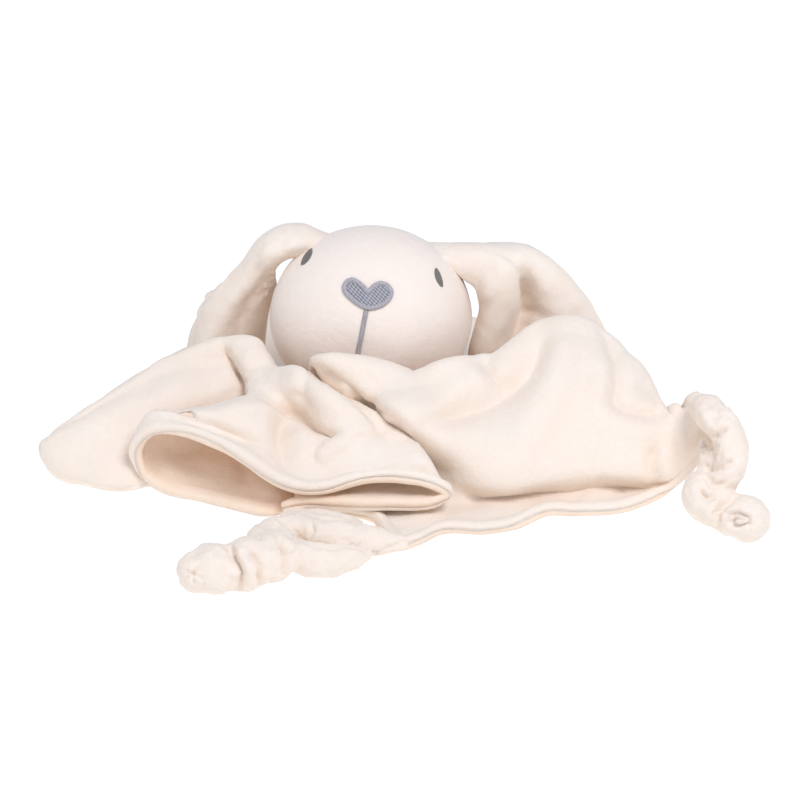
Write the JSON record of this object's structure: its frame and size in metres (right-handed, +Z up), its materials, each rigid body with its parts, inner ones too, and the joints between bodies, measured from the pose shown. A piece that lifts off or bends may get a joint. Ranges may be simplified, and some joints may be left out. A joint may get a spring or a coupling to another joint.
{
  "type": "comfort blanket",
  "caption": "Stuffed bunny head with drooping ears, sewn to the middle of a soft velour comfort blanket that lies in folds, with knotted corner tails.",
  "frame": {"origin": "on the floor under the middle of the head, on the flat underside of the under cloth", "axes": "+Z up, the face towards -Y, +X to the right of the picture"},
  "size_m": [0.3209, 0.3582, 0.0975],
  "materials": {
    "velour": "short soft pile, matt",
    "wadding": "loose wadding, matt",
    "thread": "satin embroidery thread",
    "dark_thread": "satin embroidery thread"
  },
  "bodies": {
    "blanket": {"blanket_top_cloth": "velour", "blanket_under_cloth": "velour", "neck_gather": "velour"},
    "head": {"head_face_panel": "velour", "head_back_panel": "velour", "head_filling": "wadding", "nose_fill": "thread", "nose_border": "thread", "mouth_line": "thread", "left_eye": "dark_thread", "right_eye": "dark_thread"},
    "left_ear": {"left_ear_front_panel": "velour", "left_ear_back_panel": "velour"},
    "right_ear": {"right_ear_front_panel": "velour", "right_ear_back_panel": "velour"},
    "front_left_tail": {"front_left_tail": "velour"},
    "right_tail": {"right_tail": "velour"},
    "back_left_tail": {"back_left_tail": "velour"},
    "back_right_tail": {"back_right_tail": "velour"}
  },
  "joints": [
    {"name": "head_tilt", "type": "hinge", "parent": "blanket", "child": "head", "pos_m": [0, 0.028, 0.012], "axis": [-1, 0, 0], "range_deg": [0, 40]},
    {"name": "left_ear_lift", "type": "hinge", "parent": "head", "child": "left_ear", "pos_m": [-0.0198, 0.012, 0.097], "axis": [0, 1, 0], "range_deg": [0, 80]},
    {"name": "right_ear_lift", "type": "hinge", "parent": "head", "child": "right_ear", "pos_m": [0.0237, 0.012, 0.0925], "axis": [0, -1, 0], "range_deg": [0, 80]},
    {"name": "front_left_tail_swing", "type": "hinge", "parent": "blanket", "child": "front_left_tail", "pos_m": [0.016, -0.146, 0.006], "axis": [0, 0, 1], "range_deg": [0, 60]},
    {"name": "right_tail_lift", "type": "hinge", "parent": "blanket", "child": "right_tail", "pos_m": [0.15, -0.073, 0.052], "axis": [-1, 0, 0], "range_deg": [0, 60]},
    {"name": "back_left_tail_lift", "type": "hinge", "parent": "blanket", "child": "back_left_tail", "pos_m": [-0.086, 0.096, 0.01], "axis": [1, 0, 0], "range_deg": [0, 60]},
    {"name": "back_right_tail_lift", "type": "hinge", "parent": "blanket", "child": "back_right_tail", "pos_m": [0.075, 0.11, 0.01], "axis": [1, 0, 0], "range_deg": [0, 60]}
  ]
}
